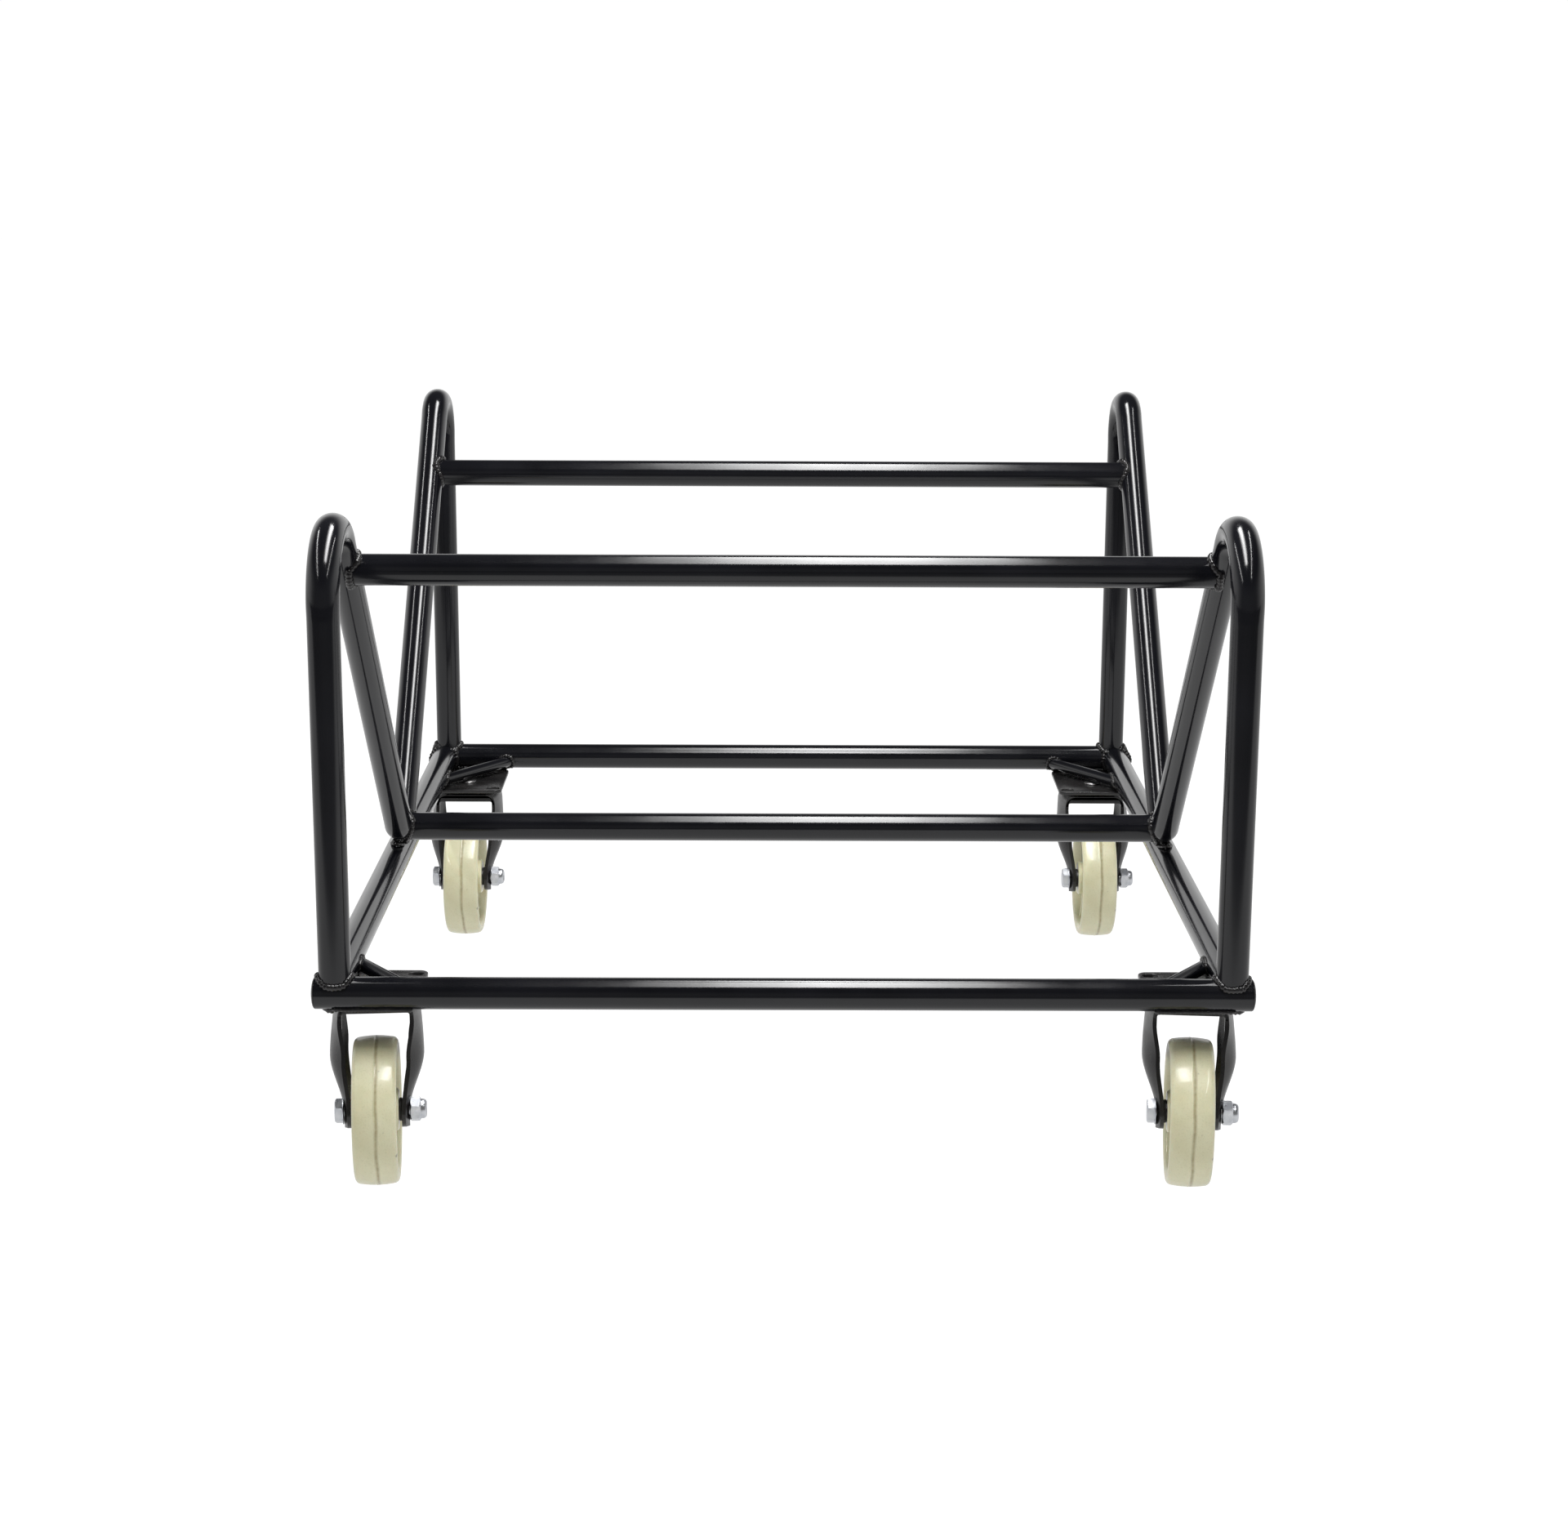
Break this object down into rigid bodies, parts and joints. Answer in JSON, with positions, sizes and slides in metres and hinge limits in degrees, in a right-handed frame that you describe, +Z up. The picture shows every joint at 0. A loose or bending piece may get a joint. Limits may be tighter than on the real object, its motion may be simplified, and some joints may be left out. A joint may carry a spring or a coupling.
{
  "type": "drum dolly",
  "caption": "Tubular steel drum dolly: a welded cradle frame with M-shaped side hoops that holds a drum on its side, standing on swivel casters with nylon wheels.",
  "frame": {"origin": "on the floor, under the middle of the object's box", "axes": "+X along the drum and the long cross tubes, towards the nut end of the axles; +Y from the front to the rear, the casters trailing to -Y; +Z up"},
  "size_m": [0.7846, 0.9326, 0.5883],
  "materials": {
    "black_paint": "semi-gloss black powder coat with long soft reflections and slight orange peel",
    "ivory_nylon": "glossy ivory cast nylon with a brown mould seam round the tread",
    "zinc_plate": "bright blue-white zinc plating",
    "grey_steel": "plain turned steel, lightly oiled",
    "black_plastic": "matt black moulded plastic"
  },
  "bodies": {
    "frame": {"front_cross_tube": "black_paint", "rear_cross_tube": "black_paint", "left_side_rail": "black_paint", "right_side_rail": "black_paint", "left_side_hoop": "black_paint", "right_side_hoop": "black_paint", "middle_cross_tube": "black_paint", "front_top_rail": "black_paint", "rear_top_rail": "black_paint", "front_left_end_cap": "black_paint", "front_left_corner_brace": "black_paint", "front_right_end_cap": "black_paint", "front_right_corner_brace": "black_paint", "rear_left_end_cap": "black_paint", "rear_left_corner_brace": "black_paint", "rear_right_end_cap": "black_paint", "rear_right_corner_brace": "black_paint", "front_left_caster_plate": "black_paint", "front_left_kingpin": "grey_steel", "front_right_caster_plate": "black_paint", "front_right_kingpin": "grey_steel", "rear_left_caster_plate": "black_paint", "rear_left_kingpin": "grey_steel", "rear_right_caster_plate": "black_paint", "rear_right_kingpin": "grey_steel"},
    "front_left_swivel": {"front_left_swivel_race": "black_paint", "front_left_fork": "black_paint", "front_left_axle_bolt": "zinc_plate", "front_left_axle_nut": "zinc_plate", "front_left_axle_sleeve": "grey_steel", "front_left_hub_spacer_a": "black_plastic", "front_left_hub_spacer_b": "black_plastic"},
    "front_left_wheel_body": {"front_left_wheel": "ivory_nylon"},
    "front_right_swivel": {"front_right_swivel_race": "black_paint", "front_right_fork": "black_paint", "front_right_axle_bolt": "zinc_plate", "front_right_axle_nut": "zinc_plate", "front_right_axle_sleeve": "grey_steel", "front_right_hub_spacer_a": "black_plastic", "front_right_hub_spacer_b": "black_plastic"},
    "front_right_wheel_body": {"front_right_wheel": "ivory_nylon"},
    "rear_left_swivel": {"rear_left_swivel_race": "black_paint", "rear_left_fork": "black_paint", "rear_left_axle_bolt": "zinc_plate", "rear_left_axle_nut": "zinc_plate", "rear_left_axle_sleeve": "grey_steel", "rear_left_hub_spacer_a": "black_plastic", "rear_left_hub_spacer_b": "black_plastic"},
    "rear_left_wheel_body": {"rear_left_wheel": "ivory_nylon"},
    "rear_right_swivel": {"rear_right_swivel_race": "black_paint", "rear_right_fork": "black_paint", "rear_right_axle_bolt": "zinc_plate", "rear_right_axle_nut": "zinc_plate", "rear_right_axle_sleeve": "grey_steel", "rear_right_hub_spacer_a": "black_plastic", "rear_right_hub_spacer_b": "black_plastic"},
    "rear_right_wheel_body": {"rear_right_wheel": "ivory_nylon"}
  },
  "joints": [
    {"name": "front_left_swivel_turn", "type": "hinge", "parent": "frame", "child": "front_left_swivel", "pos_m": [-0.3475, -0.35678, 0.155], "axis": [0, 0, 1], "continuous": true},
    {"name": "front_left_wheel_roll", "type": "hinge", "parent": "front_left_swivel", "child": "front_left_wheel_body", "pos_m": [-0.34349, -0.40261, 0.06319], "axis": [0.9962, 0.0872, 0], "continuous": true},
    {"name": "front_right_swivel_turn", "type": "hinge", "parent": "frame", "child": "front_right_swivel", "pos_m": [0.3475, -0.35678, 0.155], "axis": [0, 0, 1], "continuous": true},
    {"name": "front_right_wheel_roll", "type": "hinge", "parent": "front_right_swivel", "child": "front_right_wheel_body", "pos_m": [0.34349, -0.40261, 0.06319], "axis": [0.9962, -0.0872, 0], "continuous": true},
    {"name": "rear_left_swivel_turn", "type": "hinge", "parent": "frame", "child": "rear_left_swivel", "pos_m": [-0.345, 0.38722, 0.155], "axis": [0, 0, 1], "continuous": true},
    {"name": "rear_left_wheel_roll", "type": "hinge", "parent": "rear_left_swivel", "child": "rear_left_wheel_body", "pos_m": [-0.345, 0.34122, 0.06319], "axis": [1, 0, 0], "continuous": true},
    {"name": "rear_right_swivel_turn", "type": "hinge", "parent": "frame", "child": "rear_right_swivel", "pos_m": [0.345, 0.38722, 0.155], "axis": [0, 0, 1], "continuous": true},
    {"name": "rear_right_wheel_roll", "type": "hinge", "parent": "rear_right_swivel", "child": "rear_right_wheel_body", "pos_m": [0.345, 0.34122, 0.06319], "axis": [1, 0, 0], "continuous": true}
  ]
}
